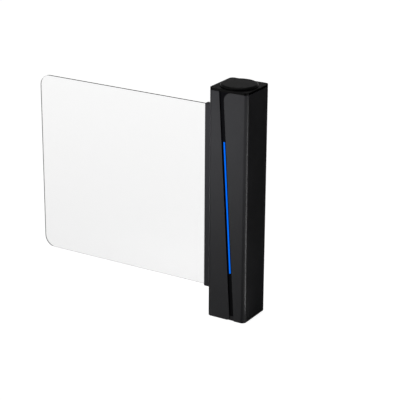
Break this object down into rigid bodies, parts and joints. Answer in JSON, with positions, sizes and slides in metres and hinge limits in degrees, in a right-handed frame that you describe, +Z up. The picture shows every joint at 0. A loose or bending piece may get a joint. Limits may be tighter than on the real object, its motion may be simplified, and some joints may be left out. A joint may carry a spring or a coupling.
{
  "type": "swing barrier gate",
  "caption": "Pedestrian swing gate: a square steel post with a slanted lit groove, a round card reader on its lid, a rear service door and a clear panel on a motor-driven hinge.",
  "frame": {"origin": "middle of the post's foot, on the floor", "axes": "+Z up; the front with the lit groove faces -Y; the clear panel points to -X at rest"},
  "size_m": [1.09, 0.182, 1.009],
  "materials": {
    "graphite_coat": "satin dark graphite powder coat",
    "lid_gloss": "black coat with a soft gloss",
    "reader_plastic": "smooth black moulding",
    "groove_black": "matt black",
    "blue_light": "translucent blue light guide",
    "clamp_coat": "satin dark graphite powder coat",
    "clear_acrylic": "polished clear sheet",
    "gasket_rubber": "matt black rubber",
    "zinc_steel": "zinc plated",
    "bright_steel": "bright machined",
    "cast_aluminium": "dark coat on a casting",
    "bronze": "plain bearing bronze",
    "drive_steel": "black paint on steel",
    "drive_black": "matt black moulding",
    "board_green": "green circuit board",
    "terminal_grey": "grey moulding",
    "supply_case": "bare folded sheet"
  },
  "bodies": {
    "post": {"base_plate": "drive_steel", "anchor_bolt_1": "zinc_steel", "anchor_bolt_2": "zinc_steel", "anchor_bolt_3": "zinc_steel", "anchor_bolt_4": "zinc_steel", "chassis": "zinc_steel", "left_shell": "graphite_coat", "right_shell": "graphite_coat", "top_lid": "lid_gloss", "reader_disc": "reader_plastic", "reader_ring_nut": "drive_black", "reader_board": "board_green", "light_tray": "groove_black", "light_diffuser": "blue_light", "light_board": "board_green", "lower_bracket": "cast_aluminium", "upper_bracket": "cast_aluminium", "lower_bush": "bronze", "upper_bush": "bronze", "bracket_bolt_1": "zinc_steel", "bracket_bolt_2": "zinc_steel", "bracket_bolt_3": "zinc_steel", "bracket_bolt_4": "zinc_steel", "gear_guard": "cast_aluminium", "stop_buffer_front": "gasket_rubber", "stop_buffer_rear": "gasket_rubber", "motor_plate": "zinc_steel", "gearbox": "bright_steel", "motor": "drive_steel", "brake": "drive_steel", "encoder": "drive_black", "transformer": "drive_steel", "terminal_block": "terminal_grey", "power_supply": "supply_case", "control_board": "board_green", "door_pin_lower": "bright_steel", "door_pin_upper": "bright_steel"},
    "barrier": {"hinge_shaft": "bright_steel", "shaft_collar": "zinc_steel", "shaft_gear": "bright_steel", "clamp_body": "clamp_coat", "clamp_jaw": "clamp_coat", "clamp_cap_lower": "clamp_coat", "clamp_cap_upper": "clamp_coat", "jaw_screw_1": "bright_steel", "jaw_screw_2": "bright_steel", "jaw_screw_3": "bright_steel", "jaw_screw_4": "bright_steel", "jaw_screw_5": "bright_steel", "clear_panel": "clear_acrylic", "gasket_front": "gasket_rubber", "gasket_rear": "gasket_rubber"},
    "drive": {"drive_gear": "bright_steel", "drive_shaft": "bright_steel", "stop_lever": "bright_steel"},
    "door": {"rear_door": "graphite_coat", "lock_housing": "bright_steel", "lock_nut": "zinc_steel"},
    "lock": {"lock_plug": "bright_steel", "lock_cam": "zinc_steel"}
  },
  "joints": [
    {"name": "barrier_swing", "type": "hinge", "parent": "post", "child": "barrier", "pos_m": [-0.11, 0, 0.5], "axis": [0, 0, 1], "range_deg": [-90, 90]},
    {"name": "drive_turn", "type": "hinge", "parent": "post", "child": "drive", "pos_m": [-0.056, 0, 0.06], "axis": [0, 0, 1], "range_deg": [-45, 45]},
    {"name": "rear_door_swing", "type": "hinge", "parent": "post", "child": "door", "pos_m": [0.055, 0.083, 0.5], "axis": [0, 0, -1], "range_deg": [0, 95]},
    {"name": "lock_turn", "type": "hinge", "parent": "door", "child": "lock", "pos_m": [-0.044, 0.085, 0.5], "axis": [0, 1, 0], "range_deg": [0, 90]}
  ],
  "couplings": [
    {"joint": "drive_turn", "follows": "barrier_swing", "ratio": -0.5}
  ]
}
